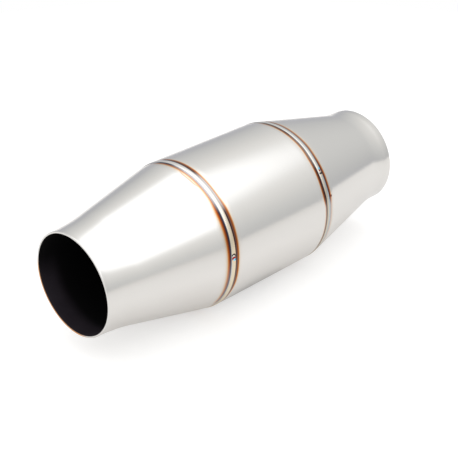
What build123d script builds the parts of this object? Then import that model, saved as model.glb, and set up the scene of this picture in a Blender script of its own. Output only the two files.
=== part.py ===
# Straight-through catalytic converter in polished stainless steel, for a 3 in exhaust pipe.
# Millimetres. X is the line of flow, from the inlet at -X to the outlet at +X, and Z is up.
# The origin is on the axis, half way along the barrel.

from build123d import *
from math import atan2, cos, pi, sin, sqrt, tan
import os

# Pipe that slips into each neck
pipe_diameter = 76.2
pipe_clearance = 0.35

# Sheet of the barrel shell and of both cones
sheet = 1.5

# Barrel, cones and necks: lengths are taken between the sharp corners of the outer line
shell_diameter = 118.0
shell_length = 105.0
cone_length = 86.8
neck_length = 15.1
shoulder_radius = 85.0
neck_blend_radius = 75.0
rim_chamfer = 0.3

# Girth welds, where a cone butts on the shell
girth_face_width = 4.1
girth_root_width = 1.8
girth_crown = 0.35
girth_root_bead = 0.15

# Lengthwise weld of the rolled shell, ground flush: its angle goes from -Y up over the top
seam_face_width = 3.0
seam_root_width = 1.6
seam_angle = 225.0

# Jacket of the core, which lies inside the shell
jacket_wall = 1.0
jacket_clearance = 0.3

# Foils of the core: a flat and a corrugated one, rolled up together from a small eye.
# The flat foil's inner end lies across the eye, where the mandrel's slit held it. The roll ends
# at an angle, from +Y towards +Z, that puts its heavy side at the bottom.
core_recess = 2.5
eye_radius = 4.0
eye_tab = 2.5
roll_end_angle = 0.0
layer_pitch = 5.0
wave_length = 8.0
foil_thickness = 0.4
foil_clearance = 0.1
smallest_layer = 1.6
eye_corners = 8

# Radii and stations that follow from the sizes above
shell_radius = shell_diameter / 2
neck_radius = pipe_diameter / 2 + pipe_clearance + sheet
seam_x = shell_length / 2
corner_x = seam_x + cone_length
end_x = corner_x + neck_length
cone_angle = atan2(shell_radius - neck_radius, cone_length)
half_turn = tan(cone_angle / 2)
straight_x = seam_x - shoulder_radius * half_turn


def line_points(inset):
    """Corners of the wall's line from end to end, inset from the outer surface."""
    shift = inset * half_turn
    half = [
        (seam_x - shift, shell_radius - inset),
        (corner_x - shift, neck_radius - inset),
        (end_x, neck_radius - inset),
    ]
    return [(-x, r) for x, r in reversed(half)] + half


def line_radii(inset):
    """Bend radii of the same line: the shoulders are crowned, the necks are hollow."""
    shoulder = shoulder_radius - inset
    neck = neck_blend_radius + inset
    return [neck, shoulder, shoulder, neck]


# Section of a girth weld, on a plane that is square to the sheet in the middle of the shoulder
half_angle = cone_angle / 2
weld_plane = Plane(
    origin=(
        straight_x + shoulder_radius * sin(half_angle),
        0,
        shell_radius - shoulder_radius + shoulder_radius * cos(half_angle),
    ),
    x_dir=(cos(half_angle), 0, -sin(half_angle)),
    z_dir=(0, -1, 0),
)
face_x = girth_face_width / 2
root_x = girth_root_width / 2
face_y = sqrt(shoulder_radius**2 - face_x**2) - shoulder_radius
root_y = sqrt((shoulder_radius - sheet) ** 2 - root_x**2) - shoulder_radius

with BuildSketch(weld_plane) as weld_section:
    with BuildLine():
        ThreePointArc((-face_x, face_y), (0, girth_crown), (face_x, face_y))
        Line((face_x, face_y), (root_x, root_y))
        ThreePointArc((root_x, root_y), (0, -sheet - girth_root_bead), (-root_x, root_y))
        Line((-root_x, root_y), (-face_x, face_y))
    make_face()

with BuildPart() as outlet_girth_weld:
    revolve(weld_section.sketch, axis=Axis.X)
outlet_girth_weld.part.label = "outlet_girth_weld"

with BuildPart() as inlet_girth_weld:
    mirror(outlet_girth_weld.part, about=Plane.YZ)
inlet_girth_weld.part.label = "inlet_girth_weld"


# Section of the whole wall, which the two welds divide into cone, shell and cone
with BuildSketch(Plane.XZ) as wall_section:
    with BuildLine():
        outer_line = FilletPolyline(*line_points(0), radius=line_radii(0))
        inner_line = FilletPolyline(*line_points(sheet), radius=line_radii(sheet))
        Line(outer_line @ 0, inner_line @ 0)
        Line(outer_line @ 1, inner_line @ 1)
    make_face()
    rims = wall_section.vertices().group_by(Axis.X)
    chamfer(rims[0] + rims[-1], length=rim_chamfer)
    add(weld_section.sketch, mode=Mode.SUBTRACT)
    add(mirror(weld_section.sketch, about=Plane.YZ, mode=Mode.PRIVATE), mode=Mode.SUBTRACT)
inlet_face, shell_face, outlet_face = wall_section.faces().sort_by(Axis.X)

with BuildPart() as inlet_cone:
    revolve(inlet_face, axis=Axis.X)
inlet_cone.part.label = "inlet_cone"

with BuildPart() as outlet_cone:
    revolve(outlet_face, axis=Axis.X)
outlet_cone.part.label = "outlet_cone"


# Barrel shell, rolled from sheet, with the slot that its lengthwise weld fills
seam_turn = seam_angle * pi / 180
seam_plane = Plane(
    origin=(0, 0, 0),
    x_dir=(0, sin(seam_turn), cos(seam_turn)),
    z_dir=(1, 0, 0),
)
with BuildSketch(seam_plane) as seam_section:
    Polygon(
        (-seam_face_width / 2, shell_radius + sheet),
        (seam_face_width / 2, shell_radius + sheet),
        (seam_face_width / 2, shell_radius),
        (seam_root_width / 2, shell_radius - sheet),
        (seam_root_width / 2, shell_radius - 3 * sheet),
        (-seam_root_width / 2, shell_radius - 3 * sheet),
        (-seam_root_width / 2, shell_radius - sheet),
        (-seam_face_width / 2, shell_radius),
        align=None,
    )

with BuildPart() as barrel_shell:
    revolve(shell_face, axis=Axis.X)
    extrude(seam_section.sketch, amount=seam_x, both=True, mode=Mode.SUBTRACT)
barrel_shell.part.label = "barrel_shell"

with BuildPart() as shell_seam_weld:
    revolve(shell_face, axis=Axis.X)
    extrude(seam_section.sketch, amount=seam_x, both=True, mode=Mode.INTERSECT)
shell_seam_weld.part.label = "shell_seam_weld"


# Core jacket, which runs on until the shell has drawn in by half of its clearance
jacket_radius = shell_radius - sheet - jacket_clearance
jacket_bore = jacket_radius - jacket_wall
jacket_end_x = straight_x + sqrt(jacket_clearance * (shoulder_radius - sheet))

with BuildPart() as core_jacket:
    with BuildSketch(Plane.YZ.offset(-jacket_end_x)):
        Circle(jacket_radius)
        Circle(jacket_bore, mode=Mode.SUBTRACT)
    extrude(amount=2 * jacket_end_x)
core_jacket.part.label = "core_jacket"


# Core foils
core_end_x = jacket_end_x - core_recess
roll_radius = jacket_bore - foil_clearance - foil_thickness / 2
full_turn = 2 * pi


def flat_radius(angle):
    """Middle of the flat foil: a spiral that ends in a plain turn along the jacket."""
    return min(eye_radius + layer_pitch * angle / full_turn, roll_radius)


def layer_height(angle):
    """Room between the flat foil and its next turn, middle to middle."""
    return flat_radius(angle + full_turn) - flat_radius(angle)


def wave_angles():
    """Angles of the corrugation's valleys and crests, in turn, half a wave apart."""
    angles = [0.0]
    while layer_height(angles[-1]) > smallest_layer or len(angles) % 2:
        middle_radius = flat_radius(angles[-1]) + layer_height(angles[-1]) / 2
        angles.append(angles[-1] + wave_length / 2 / middle_radius)
    return angles


def foil_point(angle, radius):
    """Point of the core's face at an angle and a radius."""
    return (radius * cos(angle), radius * sin(angle))


def foil_outline(path):
    """Closed outline of a foil whose middle runs along the path of angles and radii."""
    half = foil_thickness / 2
    outer = [foil_point(angle, radius + half) for angle, radius in path]
    inner = [foil_point(angle, radius - half) for angle, radius in reversed(path)]
    return outer + inner


turning_angles = wave_angles()
valleys = turning_angles[0::2]
crests = turning_angles[1::2]
rest_gap = foil_thickness + foil_clearance
valley_path = [(angle, flat_radius(angle) + rest_gap) for angle in valleys]
crest_path = [(angle, flat_radius(angle + full_turn) - rest_gap) for angle in crests]
corrugated_path = [point for pair in zip(valley_path, crest_path) for point in pair]

first_turn = [full_turn * corner / eye_corners for corner in range(eye_corners)]
covering_turns = [angle + full_turn for angle in crests]
flat_path = [(angle, flat_radius(angle)) for angle in first_turn + covering_turns]

roll_start = roll_end_angle * pi / 180 - crests[-1]
core_plane = Plane(
    origin=(-core_end_x, 0, 0),
    x_dir=(0, cos(roll_start), sin(roll_start)),
    z_dir=(1, 0, 0),
)

with BuildPart() as flat_foil:
    with BuildSketch(core_plane):
        Polygon(*foil_outline(flat_path), align=None)
        with Locations(((eye_radius - eye_tab) / 2, 0)):
            Rectangle(eye_radius + eye_tab, foil_thickness)
    extrude(amount=2 * core_end_x)
flat_foil.part.label = "flat_foil"

with BuildPart() as corrugated_foil:
    with BuildSketch(core_plane):
        Polygon(*foil_outline(corrugated_path), align=None)
    extrude(amount=2 * core_end_x)
corrugated_foil.part.label = "corrugated_foil"


pieces = [
    inlet_cone,
    inlet_girth_weld,
    barrel_shell,
    shell_seam_weld,
    outlet_girth_weld,
    outlet_cone,
    core_jacket,
    flat_foil,
    corrugated_foil,
]
os.makedirs("parts", exist_ok=True)
for piece in pieces:
    export_step(piece.part, f"parts/{piece.part.label}.step")
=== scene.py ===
import bmesh
import bpy
from math import atan2, cos, exp, pi, radians, sin, sqrt, tan
from mathutils import Matrix, Vector, noise


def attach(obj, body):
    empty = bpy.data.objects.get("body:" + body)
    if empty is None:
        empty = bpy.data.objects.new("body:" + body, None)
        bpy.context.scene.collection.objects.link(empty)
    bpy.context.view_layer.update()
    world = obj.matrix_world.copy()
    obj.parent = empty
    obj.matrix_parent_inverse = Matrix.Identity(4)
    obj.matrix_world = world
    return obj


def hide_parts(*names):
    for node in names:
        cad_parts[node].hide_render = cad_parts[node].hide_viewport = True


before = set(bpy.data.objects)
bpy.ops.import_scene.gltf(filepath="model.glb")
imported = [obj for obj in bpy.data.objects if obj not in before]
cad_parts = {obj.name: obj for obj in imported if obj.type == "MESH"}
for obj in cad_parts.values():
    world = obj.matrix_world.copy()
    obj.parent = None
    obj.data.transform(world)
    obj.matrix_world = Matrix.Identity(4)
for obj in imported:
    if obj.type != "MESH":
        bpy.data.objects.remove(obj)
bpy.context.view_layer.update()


# Flat foil of the core
# One long strip of steel foil with a matt ceramic wash coat, wound up from a small eye. Its inner
# end lies across the eye, where the mandrel's slit held it, and its last turn lines the jacket.
core_end = 0.04579
eye_radius = 0.004
eye_tab = 0.0025
layer_pitch = 0.005
roll_radius = 0.0559
wave_length = 0.008
rest_gap = 0.0005
smallest_layer = 0.0016
foil_gauge = 0.00022
steps_a_half_wave = 6
spiral_step = radians(3)
sharp_edge = radians(35)


def flat_radius(angle):
    """Middle of the flat foil: a spiral that ends in a plain turn along the jacket."""
    return min(eye_radius + layer_pitch * angle / (2 * pi), roll_radius)


def wave_turns():
    """Angles of the corrugation's valleys and crests, in turn."""
    turns = [0.0]
    while True:
        room = flat_radius(turns[-1] + 2 * pi) - flat_radius(turns[-1])
        if room <= smallest_layer and len(turns) % 2 == 0:
            return turns
        turns.append(turns[-1] + wave_length / 2 / (flat_radius(turns[-1]) + room / 2))


def wind_foil(path, start_turn):
    """A foil whose edge follows the path of angles and radii, drawn out along the core."""
    foil = bmesh.new()
    line = []
    for angle, radius in path:
        turn = start_turn + angle
        line.append(foil.verts.new((-core_end, radius * cos(turn), radius * sin(turn))))
    edge = [foil.edges.new(pair) for pair in zip(line, line[1:])]
    drawn = bmesh.ops.extrude_edge_only(foil, edges=edge)
    far_edge = [item for item in drawn["geom"] if isinstance(item, bmesh.types.BMVert)]
    bmesh.ops.translate(foil, verts=far_edge, vec=(2 * core_end, 0, 0))
    bmesh.ops.recalc_face_normals(foil, faces=foil.faces)
    return foil


def add_node(tree, kind, inputs=None, **settings):
    """A node of that kind, with its inputs given as values or as the outputs that feed them."""
    node = tree.nodes.new(kind)
    for name, value in settings.items():
        setattr(node, name, value)
    for socket, value in (inputs or {}).items():
        if isinstance(value, bpy.types.NodeSocket):
            tree.links.new(value, node.inputs[socket])
        else:
            node.inputs[socket].default_value = value
    return node


def work_out(tree, operation, *terms, clamp=False):
    """The result of a Math node."""
    node = add_node(tree, "ShaderNodeMath", dict(enumerate(terms)), operation=operation)
    node.use_clamp = clamp
    return node.outputs["Value"]


def remap(tree, value, start, full, low=0.0, high=1.0, easing="LINEAR"):
    """The value carried from one range to another, and held at both ends."""
    node = add_node(
        tree,
        "ShaderNodeMapRange",
        {"Value": value, "From Min": start, "From Max": full, "To Min": low, "To Max": high},
        interpolation_type=easing,
    )
    return node.outputs["Result"]


def mix_colours(tree, amount, first, second, blend="MIX"):
    """Two colours mixed by an amount."""
    inputs = {0: amount, 6: first, 7: second}
    return add_node(tree, "ShaderNodeMix", inputs, data_type="RGBA", blend_type=blend).outputs[2]


def start_group(name, inputs, outputs):
    """A new node group with its sockets, and its input and output nodes."""
    group = bpy.data.node_groups.new(name, "ShaderNodeTree")
    for socket, kind in inputs:
        group.interface.new_socket(socket, in_out="INPUT", socket_type=kind)
    for socket, kind in outputs:
        group.interface.new_socket(socket, in_out="OUTPUT", socket_type=kind)
    return group, group.nodes.new("NodeGroupInput"), group.nodes.new("NodeGroupOutput")


def place_group(tree, group, inputs):
    """A copy of a node group in the tree, with its inputs given."""
    return add_node(tree, "ShaderNodeGroup", inputs, node_tree=group)


def start_finish(name):
    """A new material, and its node tree, shader and Object coordinates."""
    finish = bpy.data.materials.new(name)
    finish.use_nodes = True
    tree = finish.node_tree
    position = add_node(tree, "ShaderNodeTexCoord").outputs["Object"]
    return finish, tree, tree.nodes["Principled BSDF"], position


def fit_piece(name, shape, finishes, node):
    """A piece of that shape, in those finishes, that stands for the CAD node."""
    for face in shape.faces:
        face.smooth = True
    mesh = bpy.data.meshes.new(name)
    shape.to_mesh(mesh)
    shape.free()
    mesh.set_sharp_from_angle(angle=sharp_edge)
    for finish in finishes:
        mesh.materials.append(finish)
    piece = bpy.data.objects.new(name, mesh)
    bpy.context.scene.collection.objects.link(piece)
    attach(piece, "root")
    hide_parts(node)
    return piece


def thicken_foil(piece):
    """Gives a foil its gauge, half of it to each side."""
    gauge = piece.modifiers.new("gauge", "SOLIDIFY")
    gauge.thickness = foil_gauge
    gauge.offset = 0


speckle, speckle_in, speckle_out = start_group(
    "mottle",
    [("Position", "NodeSocketVector"), ("Scale", "NodeSocketFloat")],
    [("Mask", "NodeSocketFloat"), ("Grain", "NodeSocketFloat")],
)
blotches = add_node(
    speckle,
    "ShaderNodeTexNoise",
    {"Vector": speckle_in.outputs["Position"], "Scale": speckle_in.outputs["Scale"], "Detail": 4.0},
)
grit_to_blotch = 14.0
fine_scale = work_out(speckle, "MULTIPLY", speckle_in.outputs["Scale"], grit_to_blotch)
grit = add_node(
    speckle,
    "ShaderNodeTexNoise",
    {"Vector": speckle_in.outputs["Position"], "Scale": fine_scale, "Detail": 2.0},
)
blotch_mask = remap(speckle, blotches.outputs["Fac"], 0.35, 0.65)
speckle.links.new(blotch_mask, speckle_out.inputs["Mask"])
speckle.links.new(grit.outputs["Fac"], speckle_out.inputs["Grain"])

wash_coat, coat_tree, coat_shader, coat_position = start_finish("coated_foil")
coat_mottle = place_group(coat_tree, speckle, {"Position": coat_position, "Scale": 160.0})
coat_colour = mix_colours(
    coat_tree, coat_mottle.outputs["Mask"], (0.062, 0.055, 0.047, 1), (0.092, 0.083, 0.071, 1)
)
coat_tree.links.new(coat_colour, coat_shader.inputs["Base Color"])
coat_bump = add_node(
    coat_tree, "ShaderNodeBump", {"Height": coat_mottle.outputs["Grain"], "Distance": 0.00006}
)
coat_tree.links.new(coat_bump.outputs["Normal"], coat_shader.inputs["Normal"])
coat_shader.inputs["Roughness"].default_value = 0.82
coat_shader.inputs["Metallic"].default_value = 0.15

turns = wave_turns()
start_turn = -turns[-1]
spiral_end = turns[-1] + 2 * pi
spiral_steps = int(spiral_end / spiral_step)
flat_path = [(0.0, -eye_tab), (0.0, 0.0)]
for step in range(spiral_steps + 1):
    angle = spiral_end * step / spiral_steps
    flat_path.append((angle, flat_radius(angle)))
flat_foil = wind_foil(flat_path, start_turn)
thicken_foil(fit_piece("core_flat_foil", flat_foil, [wash_coat], "flat_foil"))


# Corrugated foil of the core
# The same coated foil, run between two toothed rollers that leave rounded waves, and wound up with
# the flat one. Its crests and valleys rest on the flat foil's turns, to which they are brazed.
wave_path = []
for index, angle in enumerate(turns):
    valley = index % 2 == 0
    radius = flat_radius(angle) + rest_gap if valley else flat_radius(angle + 2 * pi) - rest_gap
    if wave_path:
        last_angle, last_radius = wave_path[-1]
        for step in range(1, steps_a_half_wave):
            share = step / steps_a_half_wave
            ease = (1 - cos(pi * share)) / 2
            wave_path.append(
                (
                    last_angle + (angle - last_angle) * share,
                    last_radius + (radius - last_radius) * ease,
                )
            )
    wave_path.append((angle, radius))
wave_foil = wind_foil(wave_path, start_turn)
wave_foil = fit_piece(
    "core_corrugated_foil", wave_foil, [wash_coat], "corrugated_foil"
)
thicken_foil(wave_foil)


# Core jacket
# A tube of 1 mm stainless steel, turned dull and brown in the brazing oven. The foils are brazed
# inside it, and it stands 2.5 mm past them at both ends.
jacket_outside = 0.0572
jacket_inside = 0.0562
jacket_end = 0.04829
lip_round = 0.0002
jacket_steps = 192
hair = 0.000001


def spin_section(section, first_turn, whole_turn, steps):
    """Sweeps a section about the X axis, from a turn measured from +Z, and closes a full sweep."""
    bmesh.ops.rotate(
        section, verts=section.verts, cent=(0, 0, 0), matrix=Matrix.Rotation(first_turn, 3, "X")
    )
    closed = abs(whole_turn - 2 * pi) < hair
    bmesh.ops.spin(
        section,
        geom=section.verts[:] + section.edges[:],
        cent=(0, 0, 0),
        axis=(1, 0, 0),
        angle=whole_turn,
        steps=steps,
        use_merge=closed,
    )
    return section


def draw_loop(section, points):
    """A closed line through points of X and radius, in the XZ plane."""
    dots = [section.verts.new((x, 0, radius)) for x, radius in points]
    for first, second in zip(dots, dots[1:] + dots[:1]):
        section.edges.new((first, second))
    return dots


def round_corner(section, dot, offset, segments):
    """Rounds one corner of a line."""
    bmesh.ops.bevel(
        section,
        geom=[dot],
        offset=offset,
        offset_type="OFFSET",
        segments=segments,
        profile=0.5,
        affect="VERTICES",
        material=-1,
    )


oven_brown, oven_tree, oven_shader, oven_position = start_finish("jacket_steel")
oven_mottle = place_group(oven_tree, speckle, {"Position": oven_position, "Scale": 90.0})
oven_colour = mix_colours(
    oven_tree, oven_mottle.outputs["Mask"], (0.120, 0.105, 0.092, 1), (0.175, 0.155, 0.135, 1)
)
oven_tree.links.new(oven_colour, oven_shader.inputs["Base Color"])
oven_rough = remap(oven_tree, oven_mottle.outputs["Mask"], 0.0, 1.0, 0.42, 0.60)
oven_tree.links.new(oven_rough, oven_shader.inputs["Roughness"])
oven_shader.inputs["Metallic"].default_value = 1.0

jacket_section = bmesh.new()
lips = draw_loop(
    jacket_section,
    [
        (-jacket_end, jacket_outside),
        (jacket_end, jacket_outside),
        (jacket_end, jacket_inside),
        (-jacket_end, jacket_inside),
    ],
)
for lip in lips:
    round_corner(jacket_section, lip, lip_round, 3)
spin_section(jacket_section, 0, 2 * pi, jacket_steps)
bmesh.ops.recalc_face_normals(jacket_section, faces=jacket_section.faces)
fit_piece("core_jacket_tube", jacket_section, [oven_brown], "core_jacket")


# Barrel shell
# 1.5 mm stainless sheet, rolled to a tube of 118 mm with its ends drawn in a little to meet the
# cones. The outside is polished bright and has taken the colours of the welding heat at both ends.
sheet = 0.0015
shell_radius = 0.059
neck_radius = 0.03995
shoulder_x = 0.0525
neck_x = 0.1393
rim_x = 0.1544
shoulder_bend = 0.085
outlet_neck_bend = 0.075
inlet_neck_bend = 0.130
rim_round = 0.00035
weld_half_face = 0.00205
weld_half_root = 0.0009
weld_station = 0.0523
inlet_drift = 0.00115
outlet_drift = -0.0006
tint_reach = 0.01
seam_turn = radians(-135)
seam_width = 0.003
shoulder_segments = 20
neck_segments = 16
shell_steps = 252
seam_steps = 4
facing_axis = -0.6
slope = atan2(shell_radius - neck_radius, neck_x - shoulder_x)
straight_x = shoulder_x - shoulder_bend * tan(slope / 2)
weld_tilt = slope / 2
weld_across = Vector((cos(weld_tilt), 0, -sin(weld_tilt)))
weld_up = Vector((sin(weld_tilt), 0, cos(weld_tilt)))
weld_middle = Vector((straight_x, 0, shell_radius - shoulder_bend)) + shoulder_bend * weld_up


def wall_point(across, depth):
    """Point of the shoulder's bend, across the weld's middle and under the outside of the sheet."""
    bend = shoulder_bend - depth
    drop = sqrt(bend**2 - across**2) - shoulder_bend
    return weld_middle + across * weld_across + drop * weld_up


def draw_wall(section, neck_bend):
    """Half of the wall's line, from the middle of the barrel to the rim, outside and inside."""
    bend_reach = tan(slope / 2)
    for inset in (0.0, sheet):
        shift = inset * bend_reach
        corners = [
            (0, shell_radius - inset),
            (shoulder_x - shift, shell_radius - inset),
            (neck_x - shift, neck_radius - inset),
            (rim_x, neck_radius - inset),
        ]
        dots = [section.verts.new((x, 0, radius)) for x, radius in corners]
        for first, second in zip(dots, dots[1:]):
            section.edges.new((first, second))
        round_corner(section, dots[1], (shoulder_bend - inset) * bend_reach, shoulder_segments)
        round_corner(section, dots[2], (neck_bend + inset) * bend_reach, neck_segments)


def cut_at_weld(section, side):
    """Cuts the wall where the weld's side meets it: side 1 keeps the cone, side -1 the shell."""
    face_point = wall_point(side * weld_half_face, 0)
    root_point = wall_point(side * weld_half_root, sheet)
    cut_line = face_point - root_point
    bmesh.ops.bisect_plane(
        section,
        geom=section.verts[:] + section.edges[:],
        plane_co=face_point,
        plane_no=Vector((cut_line.z, 0, -cut_line.x)),
        clear_inner=side > 0,
        clear_outer=side < 0,
    )


def line_ends(section):
    """Loose ends of the lines, sorted along X."""
    loose = [dot for dot in section.verts if len(dot.link_edges) == 1]
    return sorted(loose, key=lambda dot: dot.co.x)


def rise(tree, value, start, full, low=0.0, high=1.0):
    """A soft step from low to high as the value goes from start to full."""
    return remap(tree, value, start, full, low, high, "SMOOTHSTEP")


def mix_values(tree, amount, first, second):
    """Two values mixed by an amount."""
    return add_node(tree, "ShaderNodeMix", {0: amount, 2: first, 3: second}).outputs[0]


def stretch_vector(tree, vector, factors):
    """A vector with its parts multiplied one by one."""
    node = add_node(tree, "ShaderNodeVectorMath", {0: vector, 1: factors}, operation="MULTIPLY")
    return node.outputs["Vector"]


def unit_vector(tree, vector):
    """A vector brought to a length of 1."""
    node = add_node(tree, "ShaderNodeVectorMath", {0: vector}, operation="NORMALIZE")
    return node.outputs["Vector"]


def match_way(tree, way, aim):
    """The cosine of the angle between two directions."""
    node = add_node(tree, "ShaderNodeVectorMath", {0: way, 1: aim}, operation="DOT_PRODUCT")
    return node.outputs["Value"]


def near_turn(tree, direction, degrees, start, full):
    """1 near an angle from -Y up over the top, 0 away from it. Start and full are cosines."""
    turn = radians(degrees)
    return rise(tree, match_way(tree, direction, (0.0, -cos(turn), sin(turn))), start, full)


def shade_by(tree, value, stops):
    """The colour of a ramp at that value, from stops of a place and a colour."""
    node = add_node(tree, "ShaderNodeValToRGB", {"Fac": value})
    stop_list = node.color_ramp.elements
    for index, (place, colour) in enumerate(stops):
        stop = stop_list[index] if index < 2 else stop_list.new(place)
        stop.position = place
        stop.color = (*colour, 1)
    return node.outputs["Color"]


# Where the welding heat changed round about, in degrees from -Y up over the top
hot_turn = 26
drifting_turn = 36
# The next two turns also place the painted highlight in the tints, where the overhead light is
# mirrored
thin_tint_highlight_turn_on_shell = 57
thin_tint_highlight_turn_on_cone = 68
straying_turn = 73
inlet_fading_turns = (124, -57)
outlet_fading_turns = (116, -47)
straw_turn = 230

heat_tint, tint_in, tint_out = start_group(
    "heat_tint",
    [("Position", "NodeSocketVector"), ("Steel", "NodeSocketColor")],
    [("Color", "NodeSocketColor"), ("Mask", "NodeSocketFloat")],
)
tint_axes = add_node(heat_tint, "ShaderNodeSeparateXYZ", {"Vector": tint_in.outputs["Position"]})
on_outlet = work_out(heat_tint, "GREATER_THAN", tint_axes.outputs["X"], 0.0)
on_inlet = work_out(heat_tint, "SUBTRACT", 1.0, on_outlet)
from_axis = stretch_vector(heat_tint, tint_in.outputs["Position"], (0.0, 1.0, 1.0))
around = unit_vector(heat_tint, from_axis)
around_axes = add_node(heat_tint, "ShaderNodeSeparateXYZ", {"Vector": around})

# The colours drift towards the cone low on the inlet, and towards the shell on the outlet's flank
low_drift = rise(heat_tint, tint_axes.outputs["Z"], 0.030, -0.010, high=inlet_drift)
on_flank = near_turn(heat_tint, around, drifting_turn, 0.93, 0.99)
flank_drift = work_out(heat_tint, "MULTIPLY", on_flank, outlet_drift)
drift = mix_values(heat_tint, on_outlet, low_drift, flank_drift)
weld_line = work_out(heat_tint, "ADD", drift, weld_station)
past_line = work_out(
    heat_tint, "SUBTRACT", work_out(heat_tint, "ABSOLUTE", tint_axes.outputs["X"]), weld_line
)
on_cone = work_out(heat_tint, "GREATER_THAN", past_line, 0.0)
on_shell = work_out(heat_tint, "SUBTRACT", 1.0, on_cone)
from_line = work_out(heat_tint, "ABSOLUTE", past_line)

# The torch ran hot on the flank, where the colours are deep, and fast above it, where they are
# thin; above the flank the tints are also painted paler as a painted highlight, where the overhead
# light is mirrored
thin_tint_and_painted_highlight = mix_values(
    heat_tint,
    on_cone,
    near_turn(heat_tint, around, thin_tint_highlight_turn_on_shell, 0.94, 0.995),
    near_turn(heat_tint, around, thin_tint_highlight_turn_on_cone, 0.87, 0.99),
)
thin_tint_and_painted_highlight = work_out(
    heat_tint, "MULTIPLY", thin_tint_and_painted_highlight, work_out(heat_tint, "MULTIPLY_ADD", on_outlet, -0.65, 1.0)
)
hotness = near_turn(heat_tint, around, hot_turn, 0.90, 0.985)
hotness = work_out(
    heat_tint, "MULTIPLY", hotness, work_out(heat_tint, "MULTIPLY_ADD", on_outlet, 0.5, 0.5)
)
sooty = rise(heat_tint, around_axes.outputs["Y"], -0.45, -0.15, high=0.6)
on_inlet_shell = work_out(heat_tint, "MULTIPLY", on_inlet, on_shell)
sooty = work_out(heat_tint, "MULTIPLY", sooty, on_inlet_shell)
hotness = work_out(heat_tint, "MAXIMUM", hotness, sooty)
thinness = work_out(
    heat_tint, "MULTIPLY", rise(heat_tint, around_axes.outputs["Y"], -0.80, -0.60), on_inlet
)

# Low down both welds ran cooler: their bands narrow on the shell and fade on the cone
coolness = work_out(
    heat_tint, "MULTIPLY", rise(heat_tint, around_axes.outputs["Z"], 0.27, 0.12), on_outlet
)
paleness = work_out(
    heat_tint, "MULTIPLY", rise(heat_tint, tint_axes.outputs["Z"], 0.006, -0.012), on_inlet
)
underside = work_out(
    heat_tint, "MULTIPLY", rise(heat_tint, tint_axes.outputs["Z"], -0.018, -0.034), on_inlet
)
narrowing = work_out(heat_tint, "ADD", coolness, underside)
narrowing = work_out(heat_tint, "MULTIPLY", narrowing, on_shell)
wander = add_node(
    heat_tint,
    "ShaderNodeTexNoise",
    {"Vector": tint_in.outputs["Position"], "Scale": 24.0, "Detail": 3.0, "Roughness": 0.6},
)
reach = remap(heat_tint, wander.outputs["Fac"], 0.3, 0.7, 0.94, 1.06)
reach = work_out(heat_tint, "MULTIPLY_ADD", thinness, -0.28, reach)
reach = work_out(heat_tint, "MULTIPLY_ADD", narrowing, -0.32, reach)
reach = work_out(heat_tint, "MULTIPLY_ADD", on_outlet, -0.20, reach)
past_toe = work_out(
    heat_tint, "MAXIMUM", work_out(heat_tint, "SUBTRACT", from_line, weld_half_face), 0.0
)
place = work_out(
    heat_tint,
    "ADD",
    work_out(heat_tint, "MINIMUM", from_line, weld_half_face),
    work_out(heat_tint, "DIVIDE", past_toe, reach),
)
place = work_out(heat_tint, "DIVIDE", place, tint_reach, clamp=True)

# Colours by the distance from the weld's middle, 1 at the tint's full reach
shell_tint = shade_by(
    heat_tint,
    place,
    [
        (0.160, (0.300, 0.240, 0.200)),
        (0.200, (0.060, 0.028, 0.028)),
        (0.245, (0.060, 0.024, 0.024)),
        (0.285, (0.110, 0.060, 0.055)),
        (0.330, (0.240, 0.150, 0.130)),
        (0.375, (0.220, 0.085, 0.045)),
        (0.420, (0.300, 0.085, 0.016)),
        (0.460, (0.420, 0.130, 0.024)),
        (0.500, (0.590, 0.270, 0.085)),
        (0.540, (0.715, 0.480, 0.290)),
        (0.590, (0.755, 0.660, 0.555)),
        (0.680, (0.770, 0.735, 0.690)),
    ],
)
cone_tint = shade_by(
    heat_tint,
    place,
    [
        (0.160, (0.340, 0.350, 0.380)),
        (0.200, (0.105, 0.120, 0.160)),
        (0.250, (0.035, 0.042, 0.070)),
        (0.295, (0.085, 0.042, 0.048)),
        (0.340, (0.240, 0.056, 0.020)),
        (0.390, (0.360, 0.078, 0.010)),
        (0.435, (0.465, 0.140, 0.026)),
        (0.480, (0.600, 0.290, 0.105)),
        (0.530, (0.665, 0.450, 0.270)),
        (0.580, (0.680, 0.570, 0.440)),
        (0.640, (0.710, 0.640, 0.560)),
        (0.740, (0.750, 0.715, 0.670)),
    ],
)
side_tint = mix_colours(heat_tint, on_cone, shell_tint, cone_tint)
deepening = shade_by(
    heat_tint,
    place,
    [
        (0.30, (0.48, 0.38, 0.38)),
        (0.42, (0.86, 0.58, 0.42)),
        (0.52, (0.92, 0.72, 0.60)),
        (0.60, (1.00, 1.00, 1.00)),
    ],
)
side_tint = mix_colours(heat_tint, hotness, side_tint, deepening, blend="MULTIPLY")
# Painted highlight: colour added to the dark inner bands where the overhead light is mirrored
painted_highlight_lift = shade_by(heat_tint, place, [(0.28, (0.19, 0.16, 0.16)), (0.38, (0.22, 0.13, 0.07))])
side_tint = mix_colours(heat_tint, thin_tint_and_painted_highlight, side_tint, painted_highlight_lift, blend="ADD")

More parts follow.
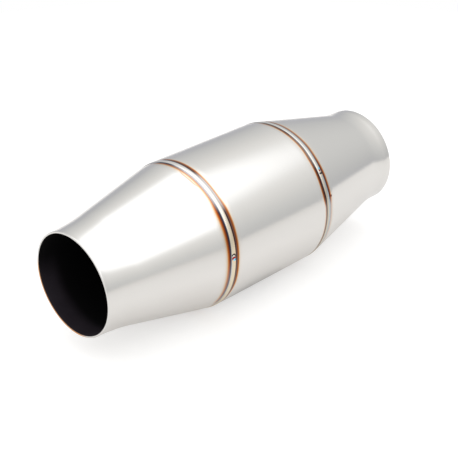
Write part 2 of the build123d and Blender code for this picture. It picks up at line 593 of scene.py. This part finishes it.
# The colours fade where the torch was fast and, as a painted highlight, where the overhead light is
# mirrored, most in the dark inner bands, and where it ran cool
in_dark = rise(heat_tint, place, 0.26, 0.38, 0.42, 0.0)
fading_and_painted_highlight = work_out(heat_tint, "MULTIPLY", thin_tint_and_painted_highlight, work_out(heat_tint, "ADD", in_dark, 0.15))
coolness = work_out(
    heat_tint, "MULTIPLY", coolness, work_out(heat_tint, "MULTIPLY_ADD", on_cone, 0.34, 0.20)
)
paleness = work_out(heat_tint, "MULTIPLY", paleness, work_out(heat_tint, "MULTIPLY", on_cone, 0.16))
fading_and_painted_highlight = work_out(heat_tint, "ADD", fading_and_painted_highlight, work_out(heat_tint, "ADD", coolness, paleness))
past_filler = remap(heat_tint, place, 0.135, 0.185)
near_weld = remap(heat_tint, place, 0.60, 0.95, 1.0, 0.0)
tint_amount = work_out(heat_tint, "MULTIPLY", near_weld, past_filler)
tint_amount = work_out(
    heat_tint, "MULTIPLY", tint_amount, work_out(heat_tint, "SUBTRACT", 1.0, fading_and_painted_highlight)
)

# The colours fade in two short stretches of each weld, high on the back and low on the front
stretches = [
    work_out(
        heat_tint,
        "MAXIMUM",
        near_turn(heat_tint, around, high_turn, 0.950, 0.994),
        near_turn(heat_tint, around, low_turn, 0.950, 0.994),
    )
    for high_turn, low_turn in (inlet_fading_turns, outlet_fading_turns)
]
fading = mix_values(heat_tint, on_outlet, *stretches)
tint_amount = work_out(
    heat_tint, "MULTIPLY", tint_amount, work_out(heat_tint, "MULTIPLY_ADD", fading, -0.80, 1.0)
)
tinted = mix_colours(heat_tint, tint_amount, tint_in.outputs["Steel"], side_tint)

# High on the inlet cone a pale line strays from the rest and back
straying = work_out(
    heat_tint, "MULTIPLY", near_turn(heat_tint, around, straying_turn, 0.975, 0.9975), on_inlet
)
stray_way = work_out(heat_tint, "MULTIPLY_ADD", straying, 0.0022, 0.0035)
from_stray = work_out(
    heat_tint, "ABSOLUTE", work_out(heat_tint, "SUBTRACT", past_line, stray_way)
)
stray_line = work_out(
    heat_tint, "MULTIPLY", straying, rise(heat_tint, from_stray, 0.00015, 0.00060, 0.75, 0.0)
)
tinted = mix_colours(heat_tint, stray_line, tinted, (0.600, 0.300, 0.130, 1))

# The inlet's rim has a straw edge low on the far side
on_rim = rise(heat_tint, tint_axes.outputs["X"], 0.00045 - rim_x, 0.00025 - rim_x)
straw_edge = near_turn(heat_tint, around, straw_turn, 0.47, 0.72)
straw_edge = work_out(heat_tint, "MULTIPLY", on_rim, straw_edge)
tinted = mix_colours(heat_tint, straw_edge, tinted, (0.760, 0.410, 0.200, 1))
heat_tint.links.new(tinted, tint_out.inputs["Color"])
heat_tint.links.new(tint_amount, tint_out.inputs["Mask"])

polish, polish_in, polish_out = start_group(
    "polish_marks",
    [("Position", "NodeSocketVector")],
    [("Lines", "NodeSocketFloat"), ("Waviness", "NodeSocketFloat")],
)
line_position = stretch_vector(polish, polish_in.outputs["Position"], (2600.0, 30.0, 30.0))
polish_lines = add_node(
    polish, "ShaderNodeTexNoise", {"Vector": line_position, "Scale": 1.0, "Detail": 3.0}
)
wave_position = stretch_vector(polish, polish_in.outputs["Position"], (9.0, 30.0, 30.0))
sheet_waves = add_node(
    polish, "ShaderNodeTexNoise", {"Vector": wave_position, "Scale": 1.0, "Detail": 1.0}
)
polish.links.new(polish_lines.outputs["Fac"], polish_out.inputs["Lines"])
polish.links.new(sheet_waves.outputs["Fac"], polish_out.inputs["Waviness"])

scorch, scorch_in, scorch_out = start_group(
    "scorch_spot",
    [
        ("Position", "NodeSocketVector"),
        ("Color", "NodeSocketColor"),
        ("Centre", "NodeSocketVector"),
        ("Radius", "NodeSocketFloat"),
        ("Spot", "NodeSocketColor"),
    ],
    [("Color", "NodeSocketColor")],
)
spot_gap = add_node(
    scorch,
    "ShaderNodeVectorMath",
    {0: scorch_in.outputs["Position"], 1: scorch_in.outputs["Centre"]},
    operation="DISTANCE",
)
spot_place = work_out(
    scorch, "DIVIDE", spot_gap.outputs["Value"], scorch_in.outputs["Radius"], clamp=True
)
in_spot = remap(scorch, spot_place, 0.78, 1.0, 1.0, 0.0)
spotted = mix_colours(scorch, in_spot, scorch_in.outputs["Color"], scorch_in.outputs["Spot"])
scorch.links.new(spotted, scorch_out.inputs["Color"])


def scorch_spots(tree, position, colour, side, spots):
    """The colour with round spots on it, each at an angle from -Y up over the top."""
    for turn_degrees, across, radius, spot_colour in spots:
        turn = radians(turn_degrees)
        middle = wall_point(across, 0)
        spot = place_group(
            tree,
            scorch,
            {
                "Position": position,
                "Color": colour,
                "Centre": (side * middle.x, -middle.z * cos(turn), middle.z * sin(turn)),
                "Radius": radius,
                "Spot": spot_colour,
            },
        )
        colour = spot.outputs["Color"]
    return colour


black_oxide = (0.015, 0.012, 0.012, 1)
red_oxide = (0.340, 0.006, 0.003, 1)
dark_red_oxide = (0.110, 0.014, 0.010, 1)
blue_oxide = (0.300, 0.760, 1.000, 1)
night_blue_oxide = (0.030, 0.060, 0.120, 1)
# Clean bright metal, painted lighter than the steel as a painted highlight in the inlet crater's
# bowl
bright_metal_and_highlight = (0.940, 0.920, 0.890, 1)
straw_oxide = (0.850, 0.680, 0.480, 1)
line_shadow = (0.760, 0.749, 0.729, 1)
line_shine = (0.790, 0.780, 0.761, 1)

# Each spot has its angle, its distance across the weld's middle, its radius and its colour
outlet_sheet_spots = [
    (14.5, 0.0049, 0.0010, dark_red_oxide),
    (28.2, -0.0037, 0.0010, dark_red_oxide),
]
line_roughness = 0.03
tint_roughness = 0.06


def polished_steel(name, least_rough, line_depth, wave_depth):
    """Polished stainless steel with fine lines round about, soft waves and heat tints."""
    finish, tree, shader, position = start_finish(name)
    marks = place_group(tree, polish, {"Position": position})
    steel = mix_colours(tree, marks.outputs["Lines"], line_shadow, line_shine)
    tint = place_group(tree, heat_tint, {"Position": position, "Steel": steel})
    colour = scorch_spots(tree, position, tint.outputs["Color"], 1, outlet_sheet_spots)
    tree.links.new(colour, shader.inputs["Base Color"])
    rough = remap(
        tree, marks.outputs["Lines"], 0.3, 0.7, least_rough, least_rough + line_roughness
    )
    rough = work_out(tree, "MULTIPLY_ADD", tint.outputs["Mask"], tint_roughness, rough)
    tree.links.new(rough, shader.inputs["Roughness"])
    waves = add_node(
        tree, "ShaderNodeBump", {"Height": marks.outputs["Waviness"], "Distance": wave_depth}
    )
    lines = add_node(
        tree, "ShaderNodeBump", {"Height": marks.outputs["Lines"], "Distance": line_depth}
    )
    tree.links.new(waves.outputs["Normal"], lines.inputs["Normal"])
    tree.links.new(lines.outputs["Normal"], shader.inputs["Normal"])
    shader.inputs["Metallic"].default_value = 1.0
    return finish


bright_steel = polished_steel("polished_steel", 0.15, 0.0000006, 0.00016)

# Painted shade: the faces that look at the axis get a near-black finish that stands in for the
# shade inside the mouths. It is darkest deep in, with a painted dim sheen low just inside the rims.
painted_shade_black, inside_tree, inside_shader, inside_position = start_finish("painted_shade_black")
inside_mottle = place_group(inside_tree, speckle, {"Position": inside_position, "Scale": 45.0})
inside_colour = mix_colours(
    inside_tree, inside_mottle.outputs["Mask"], (0.018, 0.014, 0.019, 1), (0.025, 0.020, 0.026, 1)
)
inside_axes = add_node(inside_tree, "ShaderNodeSeparateXYZ", {"Vector": inside_position})
inside_reach = work_out(inside_tree, "ABSOLUTE", inside_axes.outputs["X"])
painted_sheen_near_rim = work_out(
    inside_tree,
    "MULTIPLY",
    rise(inside_tree, inside_reach, 0.133, 0.145),
    rise(inside_tree, inside_axes.outputs["Z"], 0.010, -0.018),
)
inside_colour = mix_colours(inside_tree, painted_sheen_near_rim, (0.0030, 0.0025, 0.0030, 1), inside_colour)
inside_tree.links.new(inside_colour, inside_shader.inputs["Base Color"])
inside_bump = add_node(
    inside_tree, "ShaderNodeBump", {"Height": inside_mottle.outputs["Grain"], "Distance": 0.00004}
)
inside_tree.links.new(inside_bump.outputs["Normal"], inside_shader.inputs["Normal"])
inside_shader.inputs["Roughness"].default_value = 0.72
inside_shader.inputs["Specular IOR Level"].default_value = 0.12


def blacken_inside(shape):
    """Gives the faces that look at the axis the second finish, the painted shade black."""
    for face in shape.faces:
        middle = face.calc_center_median()
        if face.normal.dot(Vector((0, middle.y, middle.z)).normalized()) < facing_axis:
            face.material_index = 1


def close_lines(section):
    """Joins the loose ends of the outside and the inside line at each end."""
    ends = line_ends(section)
    while ends:
        section.edges.new((ends.pop(0), ends.pop(0)))


def shell_section():
    """Section of the barrel shell from weld to weld."""
    section = bmesh.new()
    draw_wall(section, outlet_neck_bend)
    cut_at_weld(section, -1)
    bmesh.ops.mirror(section, geom=section.verts[:] + section.edges[:], axis="X", merge_dist=hair)
    close_lines(section)
    return section


def rolled_sheet(start, turn, steps):
    """A stretch of the rolled shell with closed ends, painted black inside as shade."""
    stretch = spin_section(shell_section(), start, turn, steps)
    bmesh.ops.holes_fill(stretch, edges=stretch.edges, sides=0)
    bmesh.ops.recalc_face_normals(stretch, faces=stretch.faces)
    blacken_inside(stretch)
    return stretch


seam_angle = seam_width / shell_radius
shell = rolled_sheet(seam_turn + seam_angle / 2, 2 * pi - seam_angle, shell_steps)
shell_finishes = [bright_steel, painted_shade_black]
fit_piece("barrel_shell_polished", shell, shell_finishes, "barrel_shell")


# Lengthwise weld of the shell
# Closes the rolled sheet on the lower back. The bead is ground flush and polished with the sheet,
# so only its slightly duller, brushed strip shows.
ground_steel = polished_steel("ground_weld_steel", 0.22, 0.0000022, 0.00016)
strip = rolled_sheet(seam_turn - seam_angle / 2, seam_angle, seam_steps)
strip_finishes = [ground_steel, painted_shade_black]
fit_piece("shell_seam_strip", strip, strip_finishes, "shell_seam_weld")


# Outlet and inlet cone, each with its neck
# Each is spun from one length of 1.5 mm stainless tube: the wide end is opened out to meet the
# barrel and the neck keeps the size that slips over a 76 mm pipe. Rims are deburred, and the inside
# is painted near-black as shade.
cone_steps = 256


def cone_shape(side):
    """Cone and neck towards +X for side 1 and towards -X for side -1."""
    section = bmesh.new()
    draw_wall(section, outlet_neck_bend if side > 0 else inlet_neck_bend)
    cut_at_weld(section, 1)
    close_lines(section)
    for dot in [dot for dot in section.verts if dot.co.x > rim_x - hair]:
        round_corner(section, dot, rim_round, 3)
    spin_section(section, 0, 2 * pi, cone_steps)
    bmesh.ops.scale(section, verts=section.verts, vec=(side, 1, 1))
    bmesh.ops.recalc_face_normals(section, faces=section.faces)
    blacken_inside(section)
    return section


for side, name in ((1, "outlet_cone"), (-1, "inlet_cone")):
    fit_piece(name + "_polished", cone_shape(side), shell_finishes, name)


# Girth welds
# A TIG bead of stainless filler runs right round where each cone butts on the shell. It is low and
# smooth, with fine crescent ripples, blue and brown toes, and small craters where the bead ties in.
weld_crown = 0.00035
weld_root_bead = 0.00015
ripple_count = 284
ripple_depth = 0.000022
ripple_bow = 2.6
ripple_drift = 1.6
ripple_sharpness = 1.6
crater_radius = 0.0008
crater_rim_place = 1.9
crater_rim_share = 0.5
face_depth = 0.0006
face_steps = 16
root_steps = 6
bead_steps = 213
half_blend = 0.0009


def bead_section():
    """Section of a bead: crowned face, slanted sides and a small root bead."""
    section = bmesh.new()
    points = []
    for step in range(face_steps + 1):
        across = weld_half_face * (2 * step / face_steps - 1)
        crown = weld_crown * (1 - abs(across / weld_half_face) ** 3)
        points.append(wall_point(across, 0) + crown * weld_up)
    for step in range(root_steps + 1):
        across = weld_half_root * (1 - 2 * step / root_steps)
        sag = weld_root_bead * (1 - (across / weld_half_root) ** 2)
        points.append(wall_point(across, sheet) - sag * weld_up)
    draw_loop(section, [(point.x, point.z) for point in points])
    return section


def ripple_bead(shape, side, craters):
    """Raises crescent ripples on the bead's face and sinks a crater at each tie-in angle."""
    for dot in shape.verts:
        radius = sqrt(dot.co.y**2 + dot.co.z**2)
        offset = Vector((dot.co.x, 0, radius)) - weld_middle
        across = offset.dot(weld_across) / weld_half_face
        if offset.dot(weld_up) < -face_depth or abs(across) > 0.999:
            continue
        turn = atan2(dot.co.z, -dot.co.y)
        uneven = noise.noise(Vector((3 * cos(turn), 3 * sin(turn), 7 * side)))
        phase = turn * ripple_count + ripple_bow * across**2 + ripple_drift * uneven
        ripple = (0.5 + 0.5 * cos(phase)) ** ripple_sharpness * (0.8 + 0.5 * uneven)
        lift = ripple_depth * ripple * (1 - across**2) ** 0.6
        for crater_turn, crater_depth in craters:
            gap = (turn - crater_turn + pi) % (2 * pi) - pi
            way = gap * shell_radius / crater_radius
            from_rim = way - crater_rim_place
            lift -= crater_depth * exp(-(way**2)) * (1 - across**2)
            lift += crater_rim_share * crater_depth * exp(-(from_rim**2)) * (1 - across**2)
        scale = (radius + lift) / radius
        dot.co.y *= scale
        dot.co.z *= scale


def weld_finish(name, side, shell_colour, cone_colour, top_colour_painted_shade, spots):
    """Satin filler metal of three colours: two halves on the flank and one on top, with tie-ins."""
    finish, tree, shader, position = start_finish(name)
    mottle = place_group(tree, speckle, {"Position": position, "Scale": 120.0})
    bead_axes = add_node(tree, "ShaderNodeSeparateXYZ", {"Vector": position})
    bead_reach = work_out(tree, "ABSOLUTE", bead_axes.outputs["X"])
    across = rise(tree, bead_reach, weld_station - half_blend, weld_station + half_blend)
    flank_colour = mix_colours(tree, across, shell_colour, cone_colour)
    filler = mix_colours(
        tree, rise(tree, bead_axes.outputs["Z"], 0.016, 0.053), flank_colour, top_colour_painted_shade
    )
    tint = place_group(tree, heat_tint, {"Position": position, "Steel": filler})
    colour = scorch_spots(tree, position, tint.outputs["Color"], side, spots)
    tree.links.new(colour, shader.inputs["Base Color"])
    rough = remap(tree, mottle.outputs["Mask"], 0.0, 1.0, 0.16, 0.24)
    tree.links.new(rough, shader.inputs["Roughness"])
    grain = add_node(
        tree, "ShaderNodeBump", {"Height": mottle.outputs["Grain"], "Distance": 0.000004}
    )
    tree.links.new(grain.outputs["Normal"], shader.inputs["Normal"])
    shader.inputs["Metallic"].default_value = 1.0
    return finish


inlet_spots = [
    (6.3, 0.0005, 0.0017, black_oxide),
    (5.6, 0.0006, 0.0011, bright_metal_and_highlight),
    (3.9, 0.0006, 0.0018, red_oxide),
    (5.0, -0.0014, 0.0009, black_oxide),
    (2.0, 0.0009, 0.0014, straw_oxide),
    (2.9, 0.0002, 0.0012, blue_oxide),
    (2.8, -0.0014, 0.0010, night_blue_oxide),
]
outlet_spots = [
    (32.9, 0.0001, 0.0009, straw_oxide),
    (34.2, -0.0010, 0.0008, night_blue_oxide),
    (34.2, 0.0001, 0.0011, black_oxide),
    (35.3, -0.0001, 0.0008, straw_oxide),
    (36.5, -0.0003, 0.0010, red_oxide),
    (38.1, -0.0002, 0.0011, blue_oxide),
]
filler_colours = {
    "inlet": ((0.830, 0.690, 0.490, 1), (0.780, 0.700, 0.540, 1), (0.790, 0.780, 0.760, 1)),
    "outlet": ((0.640, 0.570, 0.460, 1), (0.460, 0.540, 0.590, 1), (0.720, 0.730, 0.710, 1)),
}
inlet_craters = [(radians(6.4), 0.00012), (radians(3.4), 0.00012)]
outlet_craters = [(radians(37.2), 0.00010), (radians(34.2), 0.00008)]

# An eighth of each ring is swept, and then doubled three times
for side, end, craters, spots in (
    (-1, "inlet", inlet_craters, inlet_spots),
    (1, "outlet", outlet_craters, outlet_spots),
):
    name = end + "_girth_weld"
    bead = spin_section(bead_section(), 0, pi / 4, bead_steps)
    for turned in (pi / 4, pi / 2, pi):
        copied = bmesh.ops.duplicate(bead, geom=bead.verts[:] + bead.edges[:] + bead.faces[:])
        bmesh.ops.rotate(
            bead,
            verts=[item for item in copied["geom"] if isinstance(item, bmesh.types.BMVert)],
            cent=(0, 0, 0),
            matrix=Matrix.Rotation(turned, 3, "X"),
        )
    bmesh.ops.remove_doubles(bead, verts=bead.verts, dist=2 * hair)
    ripple_bead(bead, side, craters)
    bmesh.ops.scale(bead, verts=bead.verts, vec=(side, 1, 1))
    bmesh.ops.recalc_face_normals(bead, faces=bead.faces)
    filler_finish = weld_finish(name, side, *filler_colours[end], spots)
    fit_piece(name + "_bead", bead, [filler_finish], name)


# Table
# A round white table top that the barrel lies on. Its colour gives the photo's plain white ground.
# Seen in the steel it has a painted glow, lower than the camera sees: a painted pool of light where
# the barrel throws light on it, and a painted shadow close round where the barrel touches.
table_height = -shell_radius
table_radius = 0.77


def seen_plainly(tree):
    """1 for camera and transmission rays and 0 for others, and the node that tells them apart."""
    paths = add_node(tree, "ShaderNodeLightPath")
    seen = work_out(
        tree,
        "ADD",
        paths.outputs["Is Camera Ray"],
        paths.outputs["Is Transmission Ray"],
        clamp=True,
    )
    return seen, paths


white_top, top_tree, top_shader, top_position = start_finish("white_table")
top_tree.nodes.remove(top_shader)
top_out = top_tree.nodes["Material Output"]
top_axes = add_node(top_tree, "ShaderNodeSeparateXYZ", {"Vector": top_position})
# Painted shade: the table's colour darkens towards the front, where less light falls
from_front = rise(top_tree, top_axes.outputs["Y"], -0.76, -0.08)
top_colour_painted_shade = mix_colours(
    top_tree, from_front, (0.475, 0.468, 0.458, 1), (0.655, 0.651, 0.646, 1)
)
top_paint = add_node(top_tree, "ShaderNodeBsdfDiffuse", {"Color": top_colour_painted_shade})
top_seen, top_paths = seen_plainly(top_tree)
from_middle = add_node(top_tree, "ShaderNodeVectorMath", {0: top_position}, operation="LENGTH")
from_middle = from_middle.outputs["Value"]
# Painted light and shadow seen only in the steel: a painted pool of light round the barrel, fading
# outwards, and a painted shadow close round where it touches
painted_thrown_light = rise(top_tree, from_middle, 0.130, 0.200, 0.230, 0.187)
painted_floor_light_and_shadow = rise(top_tree, from_middle, 0.058, 0.086, 0.030, painted_thrown_light)
mirrored_painted_light = work_out(top_tree, "MULTIPLY", top_paths.outputs["Is Glossy Ray"], painted_floor_light_and_shadow)
glow_strength = work_out(top_tree, "MULTIPLY_ADD", top_seen, 0.45, mirrored_painted_light)
glow_colour = mix_colours(top_tree, top_seen, (1.000, 0.950, 0.910, 1), (1.000, 1.000, 1.000, 1))
top_glow = add_node(
    top_tree, "ShaderNodeEmission", {"Color": glow_colour, "Strength": glow_strength}
)
top_sum = add_node(
    top_tree, "ShaderNodeAddShader", {0: top_paint.outputs[0], 1: top_glow.outputs[0]}
)
top_tree.links.new(top_sum.outputs[0], top_out.inputs["Surface"])

top_shape = bmesh.new()
bmesh.ops.create_circle(top_shape, cap_ends=True, segments=128, radius=table_radius)
bmesh.ops.translate(top_shape, verts=top_shape.verts, vec=(0, 0, table_height))
top_mesh = bpy.data.meshes.new("table_top")
top_shape.to_mesh(top_mesh)
top_shape.free()
top_mesh.materials.append(white_top)
table = bpy.data.objects.new("table_top", top_mesh)
bpy.context.scene.collection.objects.link(table)


# Light
# A white studio tent: brightest in a wide patch overhead, tilted a little to the front, and darker
# down its walls. The camera sees plain white past the table.
tent = bpy.data.worlds.new("studio_tent")
bpy.context.scene.world = tent
tent.use_nodes = True
tent_tree = tent.node_tree
tent_tree.nodes.clear()
tent_way = add_node(tent_tree, "ShaderNodeTexCoord").outputs["Generated"]
tent_narrowing = 1.376
overhead = Vector((-0.094, -0.219, 1.0)).normalized()
narrowed = unit_vector(tent_tree, stretch_vector(tent_tree, tent_way, (tent_narrowing, 1.0, 1.0)))
height = match_way(tent_tree, narrowed, tuple(overhead))
tent_place = work_out(tent_tree, "MULTIPLY_ADD", height, 0.5, 0.5, clamp=True)
tent_colour = shade_by(
    tent_tree,
    tent_place,
    [
        (0.375, (0.350, 0.352, 0.376)),
        (0.4375, (0.364, 0.366, 0.382)),
        (0.4875, (0.412, 0.414, 0.418)),
        (0.5375, (0.454, 0.455, 0.453)),
        (0.5875, (0.497, 0.498, 0.495)),
        (0.6375, (0.540, 0.537, 0.527)),
        (0.6875, (0.598, 0.593, 0.583)),
        (0.715, (0.624, 0.618, 0.607)),
        (0.742, (0.676, 0.673, 0.663)),
        (0.763, (0.790, 0.792, 0.792)),
        (0.778, (0.965, 0.967, 0.970)),
        (1.00, (1.000, 1.000, 1.000)),
    ],
)
tent_light = add_node(tent_tree, "ShaderNodeBackground", {"Color": tent_colour, "Strength": 1.48})
plain_white = add_node(tent_tree, "ShaderNodeBackground", {"Color": (1, 1, 1, 1), "Strength": 1.0})
tent_seen = seen_plainly(tent_tree)[0]
tent_mix = add_node(
    tent_tree,
    "ShaderNodeMixShader",
    {0: tent_seen, 1: tent_light.outputs[0], 2: plain_white.outputs[0]},
)
add_node(tent_tree, "ShaderNodeOutputWorld", {"Surface": tent_mix.outputs[0]})


# Camera
# Placed from the outline of the body and the ellipse of the near mouth in the photo.
lens = bpy.data.cameras.new("camera")
lens.lens = 86.95
lens.sensor_width = 36
camera = bpy.data.objects.new("camera", lens)
bpy.context.scene.collection.objects.link(camera)
camera.matrix_world = Matrix(
    (
        (0.704527, 0.336782, -0.624676, -0.5453),
        (-0.709677, 0.334338, -0.620142, -0.5421),
        (0.0, 0.880225, 0.474556, 0.4001),
        (0.0, 0.0, 0.0, 1.0),
    )
)
bpy.context.scene.camera = camera
bpy.context.scene.view_settings.view_transform = "Standard"
